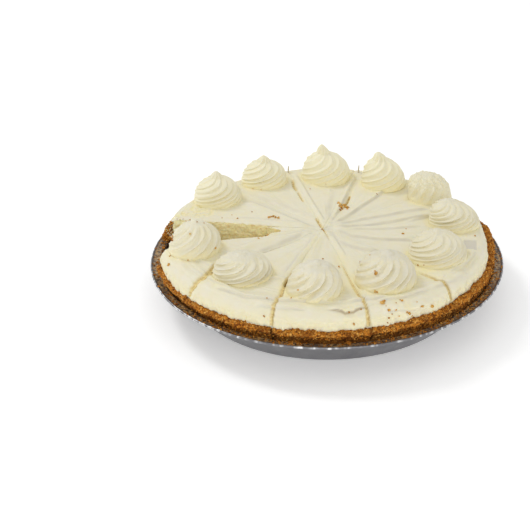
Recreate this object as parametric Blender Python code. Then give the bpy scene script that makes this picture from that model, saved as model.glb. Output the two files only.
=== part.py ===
# A key lime pie in its own foil tin, cut in twelve, with one slice gone all but its tip.
# Each slice has a crumb crust, a lime filling, a layer of whipped cream and a piped rosette, all separate solids.
# The origin is the middle of the tin's underside. The gap that the missing slice left faces -X.

import math

import bmesh
import bpy
from mathutils import Vector, noise

MM = 0.001
TOUCH_GAP = 0.3 * MM  # left between pieces that lie on each other
EDGE_GAP = 0.5 * MM  # left between the crust and the tin's sloping wall

# The foil tin
TIN_RIM_RADIUS = 127.0 * MM
TIN_HEIGHT = 27.5 * MM
TIN_BASE_RADIUS = 100.0 * MM
TIN_WALL_TOP = (120.6 * MM, 25.4 * MM)  # radius and height where the wall turns out into the flange
TIN_CORNER = 3.0 * MM
FOIL = 0.5 * MM
TIN_BEAD = 0.8 * MM  # radius of the rolled edge
TIN_SEGMENTS = 64

# The layers, as heights above the table
CRUST_FLOOR = FOIL + TOUCH_GAP
CRUST_BASE_TOP = 5.8 * MM
FILLING_TOP = 26.6 * MM
CREAM_TOP = 46.8 * MM  # the flat ring that the rosettes stand on
CREAM_DIP = 1.6 * MM  # how far the middle lies below that ring

# The crust
CRUST_WALL = 6.4 * MM  # level thickness of the crust's sloping side
CRUST_RIM_RADIUS = 122.2 * MM
CRUST_RIM_TOP = 34.2 * MM
CRUST_RIM_INNER = 114.2 * MM
CRUST_RIM_SHIFT = Vector((-1.5, 0.5)) * MM  # the rim stands a little off the tin's middle
CRUST_CRAGS = 0.8 * MM

# The cream
CREAM_RADIUS = 117.8 * MM
CREAM_SHIFT = Vector((-2.8, -1.2)) * MM
CREAM_EDGE_WAVE = 1.1 * MM
CREAM_SHOULDER = 9.5 * MM  # how far the shoulder lies inside the edge

# The cuts, as seen from above: degrees anticlockwise from +X, and how wide the knife left each one at the top
CUT_CENTRE = Vector((-3.0, -1.0)) * MM
KERF = 0.8 * MM
CUTS = [  # (angle, width at the top)
    (194.7, 0.8 * MM),
    (221.0, 2.6 * MM),
    (254.7, 1.8 * MM),
    (285.0, 1.5 * MM),
    (315.0, 1.3 * MM),
    (344.5, 0.8 * MM),
    (374.5, 0.8 * MM),
    (403.5, 0.8 * MM),
    (436.5, 0.9 * MM),
    (465.0, 1.1 * MM),
    (497.0, 0.8 * MM),
    (533.5, 0.8 * MM),
]
SLICE_STEPS = 9

# The tip of the missing slice, which broke off and stayed: how far each layer reaches from the tin's middle
TIP_CUTS = (CUTS[-1], (CUTS[0][0] + 360.0, CUTS[0][1]))
TIP_CRUST_FOOT = 46.5 * MM
TIP_CRUST_TOP = 45.5 * MM
TIP_FILLING_FOOT = 44.0 * MM
TIP_FILLING_TOP = 42.5 * MM
TIP_CREAM_FOOT = 41.0 * MM
TIP_CREAM_TOP = 32.5 * MM
TIP_CREAM_HORNS = 13.0 * MM  # how much further the cream that sticks to the cuts reaches at its top
TIP_CRAGS = 0.9 * MM

# The rosettes, one on each slice: where each stands, its size, and how its tip was pulled off
ROSETTE_LOBES = 9
ROSETTE_LEVELS = 13
ROSETTE_TWIST = math.radians(130)  # how far a ridge winds from the foot to the tip
ROSETTE_RIDGE = 0.085  # ridge height as a share of the radius
ROSETTE_FOOT = 4.0 * MM  # height over which the foot pulls in
ROSETTES = [  # angle, ring radius, radius, height, dome share of the height, tip radius, tip lean along x and y
    dict(angle=199.8, ring=96.2, radius=17.3, height=21.4, dome=0.93, tip=10.0, lean=(1.0, 0.0), turn=0.0),
    dict(angle=230.8, ring=87.4, radius=18.9, height=14.5, dome=0.91, tip=9.0, lean=(-1.0, 1.0), turn=0.7),
    dict(angle=265.5, ring=90.0, radius=17.5, height=20.0, dome=0.94, tip=10.0, lean=(1.0, 0.0), turn=1.9),
    dict(angle=297.0, ring=86.5, radius=19.2, height=21.0, dome=0.90, tip=10.0, lean=(0.5, 1.5), turn=0.3),
    dict(angle=330.1, ring=88.3, radius=19.0, height=19.5, dome=0.90, tip=9.0, lean=(-1.5, 2.0), turn=2.6),
    dict(angle=364.6, ring=94.6, radius=17.5, height=18.4, dome=0.92, tip=8.4, lean=(-6.5, 0.5), turn=0.27),
    dict(angle=392.6, ring=96.1, radius=15.8, height=21.6, dome=0.98, tip=10.7, lean=(-5.0, 0.0), turn=0.41),
    dict(angle=419.5, ring=90.5, radius=16.7, height=26.9, dome=0.83, tip=15.0, lean=(-5.2, -1.0), turn=0.02),
    dict(angle=450.4, ring=91.4, radius=18.8, height=27.5, dome=0.78, tip=12.3, lean=(-3.6, 0.0), turn=0.49),
    dict(angle=481.1, ring=96.5, radius=17.5, height=22.0, dome=0.81, tip=13.4, lean=(-0.1, -0.6), turn=0.31),
    dict(angle=510.4, ring=95.6, radius=17.5, height=23.1, dome=0.84, tip=13.4, lean=(-0.6, 0.0), turn=0.13),
]

# Finishes: colour as sRGB, roughness, metallic
FOIL_FINISH = ((0.66, 0.66, 0.68), 0.32, 1.0)
CRUST_FINISH = ((0.70, 0.44, 0.17), 0.85, 0.0)
FILLING_FINISH = ((0.88, 0.76, 0.36), 0.38, 0.0)
CREAM_FINISH = ((0.94, 0.92, 0.82), 0.55, 0.0)
ROSETTE_FINISH = ((0.95, 0.93, 0.80), 0.50, 0.0)


def linear(channel):
    return channel / 12.92 if channel <= 0.04045 else ((channel + 0.055) / 1.055) ** 2.4


def make_material(name, finish):
    colour, roughness, metallic = finish
    material = bpy.data.materials.new(name)
    material.use_nodes = True
    shader = material.node_tree.nodes["Principled BSDF"]
    shader.inputs["Base Color"].default_value = (*[linear(channel) for channel in colour], 1.0)
    shader.inputs["Roughness"].default_value = roughness
    shader.inputs["Metallic"].default_value = metallic
    return material


def add_object(name, bm, material, smooth_angle):
    bmesh.ops.recalc_face_normals(bm, faces=bm.faces)
    mesh = bpy.data.meshes.new(name)
    bm.to_mesh(mesh)
    bm.free()
    mesh.materials.append(material)
    mesh.shade_smooth()
    mesh.set_sharp_from_angle(angle=math.radians(smooth_angle))
    piece = bpy.data.objects.new(name, mesh)
    bpy.context.scene.collection.objects.link(piece)
    return piece


def direction(angle):
    return Vector((math.cos(angle), math.sin(angle)))


def wave(angle, height, scale, seed):
    """Smooth unevenness from -1 to 1 round the pie, with bumps about 1/scale turns long."""
    at = direction(angle) * scale
    return noise.noise(Vector((at.x, at.y, height / (20 * MM) + seed)))


def swell(angle, centre, width):
    """A single soft bump from 0 to 1, centred on one angle, both in degrees."""
    away = (math.degrees(angle) - centre + 180) % 360 - 180
    return math.exp(-((away / width) ** 2))


# The tin

def wall_radius(height):
    """Radius of the tin's outer face at a height."""
    top_radius, top_height = TIN_WALL_TOP
    return TIN_BASE_RADIUS + (top_radius - TIN_BASE_RADIUS) * height / top_height


def tin_section():
    """Closed outline of the foil from the middle of the base out to the rolled edge and back."""
    top_radius, top_height = TIN_WALL_TOP
    slope = math.atan2(top_height, top_radius - TIN_BASE_RADIUS)
    corner_radius = TIN_BASE_RADIUS - TIN_CORNER * math.tan(slope / 2)
    corner_turns = (0.0, slope / 2, slope)

    def corner(bend):
        return [(corner_radius + bend * math.sin(turn), TIN_CORNER - bend * math.cos(turn)) for turn in corner_turns]

    bead_radius = TIN_RIM_RADIUS - TIN_BEAD
    bead_height = TIN_HEIGHT - TIN_BEAD
    bead = []
    for step in range(7):
        turn = math.radians(-135 + 45 * step)
        bead.append((bead_radius + TIN_BEAD * math.cos(turn), bead_height + TIN_BEAD * math.sin(turn)))
    flange_end = bead_radius - 2 * TIN_BEAD
    under = [(0.0, 0.0), *corner(TIN_CORNER), (top_radius, top_height), (flange_end, bead_height - FOIL / 2)]
    over = [(flange_end, bead_height + FOIL / 2), (top_radius - FOIL * math.tan(slope / 2), top_height + FOIL)]
    over += [*reversed(corner(TIN_CORNER - FOIL)), (0.0, FOIL)]
    return under + bead + over


def make_tin(material):
    bm = bmesh.new()
    corners = [bm.verts.new((radius, 0.0, height)) for radius, height in tin_section()]
    edges = [bm.edges.new(pair) for pair in zip(corners, corners[1:])]
    bmesh.ops.spin(
        bm, geom=corners + edges, axis=(0, 0, 1), cent=(0, 0, 0),
        angle=math.tau, steps=TIN_SEGMENTS, use_merge=True,
    )
    bmesh.ops.remove_doubles(bm, verts=bm.verts, dist=0.01 * MM)
    return add_object("pan", bm, material, 40)


# The slices

def cut_line(angle):
    """The line of a cut: its direction, and its level normal to the left."""
    along = direction(angle)
    return along, Vector((-along.y, along.x))


def reach(base, along, radius):
    """The point on a line from base that lies at a radius from the tin's middle."""
    to_foot = -base.dot(along)
    return base + along * (to_foot + math.sqrt(radius**2 - base.length_squared + to_foot**2))


def tip_point(start, end, start_gap, end_gap):
    """Where a slice's two cut faces meet."""
    start_along, start_normal = cut_line(start)
    end_along, end_normal = cut_line(end)
    cross = start_normal.x * end_normal.y - start_normal.y * end_normal.x
    first, second = start_gap, -end_gap
    x = (first * end_normal.y - second * start_normal.y) / cross
    y = (second * start_normal.x - first * end_normal.x) / cross
    return CUT_CENTRE + Vector((x, y))


def half_gap(height, top_width):
    """Half the width of a cut: the bare kerf lower down, opening to its full width at the cream's top."""
    share = max(0.0, (height - FILLING_TOP) / (CREAM_TOP - FILLING_TOP))
    return 0.5 * (KERF + (top_width - KERF) * share)


def make_slice_layer(name, section, cuts, material, smooth_angle):
    """A closed solid between two cuts. section(angle) lists (radius, height) from the tip's foot out and back."""
    (start, start_width), (end, end_width) = [(math.radians(angle), width) for angle, width in cuts]
    bm = bmesh.new()
    foot_height = section(start)[0][1]
    top_height = section(start)[-1][1]
    tips = []
    for height in (foot_height, top_height):
        point = tip_point(start, end, half_gap(height, start_width), half_gap(height, end_width))
        tips.append(bm.verts.new((point.x, point.y, height)))
    rings = []
    for step in range(SLICE_STEPS + 1):
        angle = start + (end - start) * step / SLICE_STEPS
        along, normal = cut_line(angle)
        ring = [tips[0]]
        for radius, height in section(angle)[1:-1]:
            offset = 0.0
            if step == 0:
                offset = half_gap(height, start_width)
            if step == SLICE_STEPS:
                offset = -half_gap(height, end_width)
            point = reach(CUT_CENTRE + normal * offset, along, radius)
            ring.append(bm.verts.new((point.x, point.y, height)))
        rings.append(ring + [tips[1]])
    for ring, following in zip(rings, rings[1:]):
        for low, high, next_low, next_high in zip(ring, ring[1:], following, following[1:]):
            corners = dict.fromkeys((low, high, next_high, next_low))
            bm.faces.new(corners)
    bm.faces.new(rings[0])
    bm.faces.new(rings[-1])
    return add_object(name, bm, material, smooth_angle)


def crust_rim_radius(angle):
    """Outer radius of the crust's rim, uneven and a little off centre."""
    radius = CRUST_RIM_RADIUS + CRUST_RIM_SHIFT.dot(direction(angle))
    radius += CRUST_CRAGS * wave(angle, 0.0, 9.0, 3.0)
    return radius + 3.6 * MM * swell(angle, 13, 12)


def crust_rim_height(angle):
    """Height of the crust's rim, crumbly and lower at the cuts."""
    return CRUST_RIM_TOP + CRUST_CRAGS * wave(angle, 0.0, 11.0, 7.0)


def crust_inner_wall():
    """The crust's inner face as (radius, height), from the base up to the rim."""
    corner = (wall_radius(CRUST_BASE_TOP) - EDGE_GAP - FOIL - CRUST_WALL, CRUST_BASE_TOP)
    top_radius, top_height = TIN_WALL_TOP
    bend = (top_radius - EDGE_GAP - FOIL - CRUST_WALL, top_height - 0.6 * MM)
    return corner, bend


def crust_section(angle):
    corner, bend = crust_inner_wall()
    rim = crust_rim_radius(angle)
    top = crust_rim_height(angle)
    clear = EDGE_GAP + 1.3 * FOIL
    wall_foot = CRUST_FLOOR + TIN_CORNER * 0.6
    top_radius, top_height = TIN_WALL_TOP
    return [
        (0.0, CRUST_FLOOR),
        (TIN_BASE_RADIUS - TIN_CORNER, CRUST_FLOOR),
        (wall_radius(wall_foot) - clear, wall_foot),
        (top_radius - clear, top_height),
        (top_radius - 0.2 * MM, top_height + 2.6 * MM),
        (rim, top - 3.4 * MM),
        (rim - 1.1 * MM, top - 0.9 * MM),
        (rim - 4.0 * MM, top),
        (CRUST_RIM_INNER, top - 0.6 * MM),
        bend,
        corner,
        (0.0, CRUST_BASE_TOP),
    ]


def filling_section(angle):
    corner, bend = crust_inner_wall()
    floor = CRUST_BASE_TOP + TOUCH_GAP
    slope = (bend[0] - corner[0]) / (bend[1] - corner[1])
    clear = TOUCH_GAP * 1.5
    return [
        (0.0, floor),
        (corner[0] - clear, floor),
        (bend[0] - clear, bend[1]),
        (bend[0] - clear + 0.05 * slope * (FILLING_TOP - bend[1]), FILLING_TOP),
        (0.0, FILLING_TOP),
    ]


def cream_edge_radius(angle):
    """Radius of the cream's outer edge, where it meets the crust's rim."""
    radius = CREAM_RADIUS + CREAM_SHIFT.dot(direction(angle))
    radius += CREAM_EDGE_WAVE * wave(angle, 0.0, 5.0, 11.0)
    return radius + 3.4 * MM * swell(angle, 17, 10)


def cream_section(angle):
    corner, bend = crust_inner_wall()
    edge = cream_edge_radius(angle)
    rim_top = crust_rim_height(angle)
    clear = TOUCH_GAP * 1.5
    underside = FILLING_TOP + TOUCH_GAP
    drape = 0.9 * MM * wave(angle, 0.0, 4.0, 19.0)
    shoulder = edge - CREAM_SHOULDER + drape
    return [
        (0.0, underside),
        (bend[0] - clear, underside),
        (CRUST_RIM_INNER - clear, rim_top + TOUCH_GAP * 0.5),
        (CRUST_RIM_INNER + 0.6 * MM, rim_top + TOUCH_GAP * 1.4),
        (edge - 0.9 * MM, rim_top + TOUCH_GAP * 1.6),
        (edge, rim_top + 2.0 * MM),
        (edge - 1.4 * MM + 0.4 * drape, rim_top + 6.2 * MM),
        (edge - 4.4 * MM + 0.7 * drape, CREAM_TOP - 1.9 * MM),
        (shoulder, CREAM_TOP),
        (66.0 * MM, CREAM_TOP),
        (34.0 * MM, CREAM_TOP - 0.75 * CREAM_DIP + 0.4 * drape),
        (0.0, CREAM_TOP - CREAM_DIP),
    ]


# The tip that stayed: each layer ends in a broken face that slopes back towards the middle

def tip_section(angle, foot, top):
    """A flat layer's section between two (radius, height) ends, crumbly where it broke."""
    crags = TIP_CRAGS * wave(angle, foot[1], 14.0, 27.0)
    halfway = (0.5 * (foot[0] + top[0]) + 2 * crags, 0.5 * (foot[1] + top[1]))
    return [(0.0, foot[1]), (foot[0] + crags, foot[1]), halfway, (top[0] + crags, top[1]), (0.0, top[1])]


def tip_crust_section(angle):
    return tip_section(angle, (TIP_CRUST_FOOT, CRUST_FLOOR), (TIP_CRUST_TOP, CRUST_BASE_TOP))


def tip_filling_section(angle):
    return tip_section(angle, (TIP_FILLING_FOOT, CRUST_BASE_TOP + TOUCH_GAP), (TIP_FILLING_TOP, FILLING_TOP))


def tip_cream_section(angle):
    start, end = [math.radians(cut[0]) for cut in TIP_CUTS]
    side = abs(2 * (angle - start) / (end - start) - 1)
    foot = (TIP_CREAM_FOOT + 0.4 * TIP_CREAM_HORNS * side**2, FILLING_TOP + TOUCH_GAP)
    return tip_section(angle, foot, (TIP_CREAM_TOP + TIP_CREAM_HORNS * side**1.5, CREAM_TOP - CREAM_DIP))


# The rosettes

def rosette_radius(share, form):
    """Radius at a share of the height: a dome that carries a small pulled tip."""
    radius, height = form["radius"] * MM, form["height"] * MM
    dome = max(0.0, 1 - (share / form["dome"]) ** 2.5) ** 0.58 * radius
    tip = form["tip"] * MM * (1 - share) ** 0.6
    foot = 0.86 + 0.14 * min(1.0, share * height / ROSETTE_FOOT)
    return max(dome, tip) * foot


def make_rosette(name, form, material):
    middle = direction(math.radians(form["angle"])) * form["ring"] * MM
    base = CREAM_TOP + TOUCH_GAP
    height = form["height"] * MM
    lean = Vector(form["lean"]) * MM
    bm = bmesh.new()
    rings = []
    for level in range(ROSETTE_LEVELS + 1):
        share = 0.965 * math.sin(0.5 * math.pi * level / ROSETTE_LEVELS) ** 1.15
        radius = rosette_radius(share, form)
        winding = form["turn"] + ROSETTE_TWIST * (1 - (1 - share) ** 1.4)
        shift = middle + lean * share**1.6
        ring = []
        for corner in range(2 * ROSETTE_LOBES):
            ridge = 1 + ROSETTE_RIDGE * (1 if corner % 2 == 0 else -1)
            point = shift + direction(winding + math.pi * corner / ROSETTE_LOBES) * radius * ridge
            ring.append(bm.verts.new((point.x, point.y, base + share * height)))
        rings.append(ring)
    for ring, following in zip(rings, rings[1:]):
        for corner in range(len(ring)):
            beside = (corner + 1) % len(ring)
            bm.faces.new((ring[corner], ring[beside], following[beside], following[corner]))
    bm.faces.new(rings[0])
    peak = middle + lean
    tip = bm.verts.new((peak.x, peak.y, base + height))
    for corner in range(len(rings[-1])):
        bm.faces.new((rings[-1][corner], rings[-1][(corner + 1) % len(rings[-1])], tip))
    return add_object(name, bm, material, 70)


def make_pie():
    foil = make_material("foil", FOIL_FINISH)
    crust = make_material("crumb_crust", CRUST_FINISH)
    filling = make_material("lime_filling", FILLING_FINISH)
    cream = make_material("whipped_cream", CREAM_FINISH)
    piped = make_material("piped_cream", ROSETTE_FINISH)
    make_tin(foil)
    for number, (cuts, form) in enumerate(zip(zip(CUTS, CUTS[1:]), ROSETTES), start=1):
        label = f"slice_{number:02d}"
        make_slice_layer(f"{label}_crust", crust_section, cuts, crust, 40)
        make_slice_layer(f"{label}_filling", filling_section, cuts, filling, 40)
        make_slice_layer(f"{label}_cream", cream_section, cuts, cream, 50)
        make_rosette(f"{label}_rosette", form, piped)
    make_slice_layer("tip_crust", tip_crust_section, TIP_CUTS, crust, 40)
    make_slice_layer("tip_filling", tip_filling_section, TIP_CUTS, filling, 40)
    make_slice_layer("tip_cream", tip_cream_section, TIP_CUTS, cream, 50)


for old in list(bpy.data.objects):
    bpy.data.objects.remove(old, do_unlink=True)
make_pie()
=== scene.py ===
import math
import random

import bmesh
import bpy
from mathutils import Matrix, Vector, noise
from mathutils.bvhtree import BVHTree


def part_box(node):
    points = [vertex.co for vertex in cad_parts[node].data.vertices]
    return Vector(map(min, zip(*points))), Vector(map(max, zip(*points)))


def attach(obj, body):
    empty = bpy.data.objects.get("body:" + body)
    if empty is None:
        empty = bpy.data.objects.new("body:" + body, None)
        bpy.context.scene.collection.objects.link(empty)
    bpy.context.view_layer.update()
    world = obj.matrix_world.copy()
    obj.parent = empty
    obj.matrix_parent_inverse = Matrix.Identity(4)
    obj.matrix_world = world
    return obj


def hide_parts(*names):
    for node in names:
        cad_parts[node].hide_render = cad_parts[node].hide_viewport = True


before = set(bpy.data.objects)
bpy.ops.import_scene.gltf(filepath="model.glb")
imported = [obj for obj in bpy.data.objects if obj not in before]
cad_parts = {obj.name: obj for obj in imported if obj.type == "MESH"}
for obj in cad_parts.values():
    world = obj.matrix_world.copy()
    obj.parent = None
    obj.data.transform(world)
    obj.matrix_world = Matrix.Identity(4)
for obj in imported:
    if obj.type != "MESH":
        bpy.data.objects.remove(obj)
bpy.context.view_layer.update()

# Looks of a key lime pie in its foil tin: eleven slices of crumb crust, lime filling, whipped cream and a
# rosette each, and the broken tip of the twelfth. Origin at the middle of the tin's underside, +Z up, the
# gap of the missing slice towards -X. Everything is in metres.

mm = 0.001
sliceNumbers = range(1, 12)
tipNumber = 12


def toLinear(hexColour):
    channels = [int(hexColour[place:place + 2], 16) / 255 for place in (0, 2, 4)]
    return (*[c / 12.92 if c <= 0.04045 else ((c + 0.055) / 1.055) ** 2.4 for c in channels], 1.0)


def smoothStep(low, high, value):
    # from 0 at low to 1 at high; low may be the larger one
    share = min(1.0, max(0.0, (value - low) / (high - low)))
    return share * share * (3 - 2 * share)


def fade(low, high, value):
    # the same between limits in mm
    return smoothStep(low * mm, high * mm, value)


def readCurve(points, at):
    # straight lines between (place, value) pairs, flat beyond both ends
    if at <= points[0][0]:
        return points[0][1]
    for (left, low), (right, high) in zip(points, points[1:]):
        if at <= right:
            return low + (high - low) * (at - left) / (right - left)
    return points[-1][1]


def bumpy(point, size, seed=0.0):
    # smooth noise from about -1 to 1 whose bumps are about one size across
    return noise.noise(Vector((point.x / size + seed, point.y / size - seed, point.z / size + 2 * seed)))


def addNode(material, kind, inputs=None, **settings):
    # an input takes a value, or the output socket of another node
    node = material.node_tree.nodes.new(kind)
    for name, value in settings.items():
        setattr(node, name, value)
    for name, value in (inputs or {}).items():
        if isinstance(value, bpy.types.NodeSocket):
            material.node_tree.links.new(value, node.inputs[name])
        else:
            node.inputs[name].default_value = value
    return node


def feed(shader, socket, output):
    shader.id_data.links.new(output, shader.inputs[socket])


def finishMaterial(material, shader, colour, grain, strength, depth):
    # the surface's colour, and its finest relief, from a noise, as a bump
    bump = addNode(material, "ShaderNodeBump", {
        "Height": grain.outputs["Fac"], "Strength": strength, "Distance": depth,
    })
    feed(shader, "Base Color", colour)
    feed(shader, "Normal", bump.outputs["Normal"])
    return material


def startMaterial(name, values):
    material = bpy.data.materials.new(name)
    material.use_nodes = True
    shader = material.node_tree.nodes["Principled BSDF"]
    for socket, value in values.items():
        shader.inputs[socket].default_value = value
    place = addNode(material, "ShaderNodeTexCoord").outputs["Object"]
    return material, shader, place


def mixColours(material, share, *colours):
    # share 0 gives the first colour, 1 the second, and it may be the name of a layer that the mesh carries;
    # a colour is a hex value or the output of another node
    if isinstance(share, str):
        share = addNode(material, "ShaderNodeAttribute", attribute_name=share).outputs["Fac"]
    first, second = [toLinear(colour) if isinstance(colour, str) else colour for colour in colours]
    mix = addNode(material, "ShaderNodeMix", {0: share, 6: first, 7: second}, data_type="RGBA")
    return mix.outputs[2]


# The yellow glow, the grey and the darkest brown below are painted light and shade; the other colours are
# the cream's own.
creamFinish = {
    "body": "ECE6CF", "warm": "EBE4C4", "paintedGlow": "F4E9B4", "creaseShade": "D6D0BF", "deep": "87641E",
    "cut": "EEDC9E", "cutDark": "DABB78", "torn": "FFF4C4", "tornDark": "EFDCA4",
    "roughness": 0.52, "bubble": 0.7 * mm, "cloud": 7.0 * mm, "fibre": 2.2 * mm,
}


def makeWhippedCream():
    # Whipped cream, spread with a palette knife: light sinks in, so edges glow and hollows turn yellow. That
    # glow is painted into the colour as a yellow tint, and shade is painted too: grey in creases, dark brown
    # in deep grooves.
    material, shader, place = startMaterial("spreadWhippedCream", {
        "Roughness": creamFinish["roughness"], "IOR": 1.45, "Specular IOR Level": 0.35,
        "Subsurface Weight": 0.35, "Subsurface Radius": (1.0, 0.85, 0.55), "Subsurface Scale": 1.2 * mm,
    })
    cloud = addNode(material, "ShaderNodeTexNoise", {
        "Vector": place, "Scale": 1 / creamFinish["cloud"], "Detail": 5.0,
    })
    soft = addNode(material, "ShaderNodeMapRange", {
        "Value": cloud.outputs["Fac"], "From Min": 0.35, "From Max": 0.75,
    })
    body = mixColours(material, soft.outputs["Result"], creamFinish["body"], creamFinish["warm"])
    # painted glow: a yellow tint in hollows and troughs, along the outer edge and round the rosettes' feet
    tinted = mixColours(material, "paintedGlow", body, creamFinish["paintedGlow"])
    # painted shade: grey on the sharp sides of the knife marks, in the dent and on the flakes
    pressed = mixColours(material, "creaseShade", tinted, creamFinish["creaseShade"])
    fibres = addNode(material, "ShaderNodeMapping", {"Vector": place, "Scale": (0.7, 1.0, 1.9)})
    grain = addNode(material, "ShaderNodeTexNoise", {
        "Vector": fibres.outputs["Vector"], "Scale": 1 / creamFinish["fibre"], "Detail": 3.0,
    })
    pores = addNode(material, "ShaderNodeMapRange", {
        "Value": grain.outputs["Fac"], "From Min": 0.44, "From Max": 0.66,
    })
    opened = pressed
    for layer, light, dark in (("cutFace", "cut", "cutDark"), ("tornFace", "torn", "tornDark")):
        face = mixColours(material, pores.outputs["Result"], creamFinish[light], creamFinish[dark])
        opened = mixColours(material, layer, opened, face)
    # painted shadow: dark brown in deep grooves, on their far sides, under the torn edge and a little on the
    # flakes
    colour = mixColours(material, "deep", opened, creamFinish["deep"])
    bubble = addNode(material, "ShaderNodeTexNoise", {
        "Vector": place, "Scale": 1 / creamFinish["bubble"], "Detail": 3.0,
    })
    return finishMaterial(material, shader, colour, bubble, 0.5, 0.16 * mm)


pipedFinish = {
    "body": "E3DECC", "warm": "E2DBC0", "whiteness": "F6F0D2", "paintedGlow": "F5EABA",
    "roughness": 0.5, "bubble": 0.8 * mm, "cloud": 6.0 * mm,
}


def makePipedCream():
    # The same cream pushed through a star tip: smoother and glossier on its ridges, with a painted yellow
    # glow in its folds and round its foot.
    material, shader, place = startMaterial("pipedWhippedCream", {
        "Roughness": pipedFinish["roughness"], "IOR": 1.45, "Specular IOR Level": 0.35,
        "Subsurface Weight": 0.25, "Subsurface Radius": (1.0, 0.9, 0.7), "Subsurface Scale": 1.0 * mm,
    })
    cloud = addNode(material, "ShaderNodeTexNoise", {
        "Vector": place, "Scale": 1 / pipedFinish["cloud"], "Detail": 2.0,
    })
    soft = addNode(material, "ShaderNodeMapRange", {
        "Value": cloud.outputs["Fac"], "From Min": 0.35, "From Max": 0.75,
    })
    plainTone = mixColours(material, soft.outputs["Result"], pipedFinish["body"], pipedFinish["warm"])
    # whiter cream on the rosettes at the back than on those at the front
    body = mixColours(material, "whiteness", plainTone, pipedFinish["whiteness"])
    # painted yellow glow in the folds and round the foot
    colour = mixColours(material, "paintedGlow", body, pipedFinish["paintedGlow"])
    bubble = addNode(material, "ShaderNodeTexNoise", {
        "Vector": place, "Scale": 1 / pipedFinish["bubble"], "Detail": 2.0,
    })
    return finishMaterial(material, shader, colour, bubble, 0.5, 0.16 * mm)


custardFinish = {"body": "E8CE6C", "pale": "EED98A", "roughness": 0.3, "streak": 4.0 * mm, "pore": 0.8 * mm}


def makeLimeCustard():
    # Baked lime custard, cut cold: dense, pale yellow and slightly shiny, with faint knife smears.
    material, shader, place = startMaterial("bakedLimeCustard", {
        "Roughness": custardFinish["roughness"], "IOR": 1.42,
        "Subsurface Weight": 0.5, "Subsurface Radius": (1.0, 0.75, 0.2), "Subsurface Scale": 2.5 * mm,
    })
    smear = addNode(material, "ShaderNodeMapping", {"Vector": place, "Scale": (1.0, 1.0, 3.0)})
    cloud = addNode(material, "ShaderNodeTexNoise", {
        "Vector": smear.outputs["Vector"], "Scale": 1 / custardFinish["streak"], "Detail": 4.0,
    })
    colour = mixColours(material, cloud.outputs["Fac"], custardFinish["body"], custardFinish["pale"])
    pores = addNode(material, "ShaderNodeTexNoise", {
        "Vector": place, "Scale": 1 / custardFinish["pore"], "Detail": 3.0,
    })
    return finishMaterial(material, shader, colour, pores, 0.3, 0.15 * mm)


# the near-black brown is painted shade, for the seams between crumbs, the recess under the rim and the
# cracks at the cuts
crustFinish = {
    "gold": "D68A2E", "pale": "EFB45A", "toast": "763A08", "shadeBrown": "2C1102",
    "crumb": 1.1 * mm, "patch": 7.0 * mm, "grit": 0.45 * mm, "roughness": 0.9, "pits": 0.7,
}
crumbFinish = {
    "gold": "DCA64E", "pale": "ECC880", "toast": "A86C22", "shadeBrown": "84501A",
    "crumb": 1.6 * mm, "patch": 12.0 * mm, "grit": 0.45 * mm, "roughness": 0.85, "pits": 0.1,
}


def makeBiscuitCrust(name, finish):
    # Baked biscuit crumb, pressed by hand: every crumb takes its own brown, from sugar-pale to dark toast.
    # The seams between crumbs, the recess under the rim and the cracks at the cuts take painted shade, a
    # near-black brown.
    material, shader, place = startMaterial(name, {
        "Roughness": finish["roughness"], "Specular IOR Level": 0.2,
        "Subsurface Weight": 0.06, "Subsurface Radius": (1.0, 0.5, 0.2), "Subsurface Scale": 0.8 * mm,
    })
    crumbs = addNode(material, "ShaderNodeTexVoronoi", {"Vector": place, "Scale": 1 / finish["crumb"]})
    tone = addNode(material, "ShaderNodeSeparateColor", {"Color": crumbs.outputs["Color"]})
    patch = addNode(material, "ShaderNodeTexNoise", {
        "Vector": place, "Scale": 1 / finish["patch"], "Detail": 4.0, "Roughness": 0.6,
    })
    dark = addNode(material, "ShaderNodeMapRange", {
        "Value": tone.outputs["Red"], "From Min": 0.4, "From Max": 1.0,
    })
    toasted = mixColours(material, dark.outputs["Result"], finish["gold"], finish["toast"])
    light = addNode(material, "ShaderNodeMapRange", {
        "Value": tone.outputs["Green"], "From Min": 0.7, "From Max": 1.0,
    })
    sugared = mixColours(material, light.outputs["Result"], toasted, finish["pale"])
    deep = addNode(material, "ShaderNodeMapRange", {
        "Value": patch.outputs["Fac"], "From Min": 0.5, "From Max": 0.68, "To Max": 0.75,
    })
    patched = mixColours(material, deep.outputs["Result"], sugared, finish["toast"])
    seams = addNode(material, "ShaderNodeTexVoronoi", {
        "Vector": place, "Scale": 1 / finish["crumb"],
    }, feature="DISTANCE_TO_EDGE")
    # painted shade in the seams between crumbs
    seamShade = addNode(material, "ShaderNodeMapRange", {
        "Value": seams.outputs["Distance"], "From Min": 0.0, "From Max": 0.16,
        "To Min": finish["pits"], "To Max": 0.0,
    })
    seamShaded = mixColours(material, seamShade.outputs["Result"], patched, finish["shadeBrown"])
    # painted shade in the recess under the rim and in the cracks at the cuts
    colour = mixColours(material, "crustShade", seamShaded, finish["shadeBrown"])
    grit = addNode(material, "ShaderNodeTexNoise", {
        "Vector": place, "Scale": 1 / finish["grit"], "Detail": 2.0,
    })
    return finishMaterial(material, shader, colour, grit, 0.6, 0.2 * mm)


foilFinish = {
    "metal": "8C8B8E", "dull": "747376", "paintedHighlight": "F4F4F4", "stainAndPaintedLight": "D8B274", "sootAndShade": "4C341C",
    "roughness": 0.36, "crinkle": 1.6 * mm, "smudge": 14.0 * mm, "dustAndShade": 1.3 * mm, "charAndShade": 2.2 * mm,
}


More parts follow.
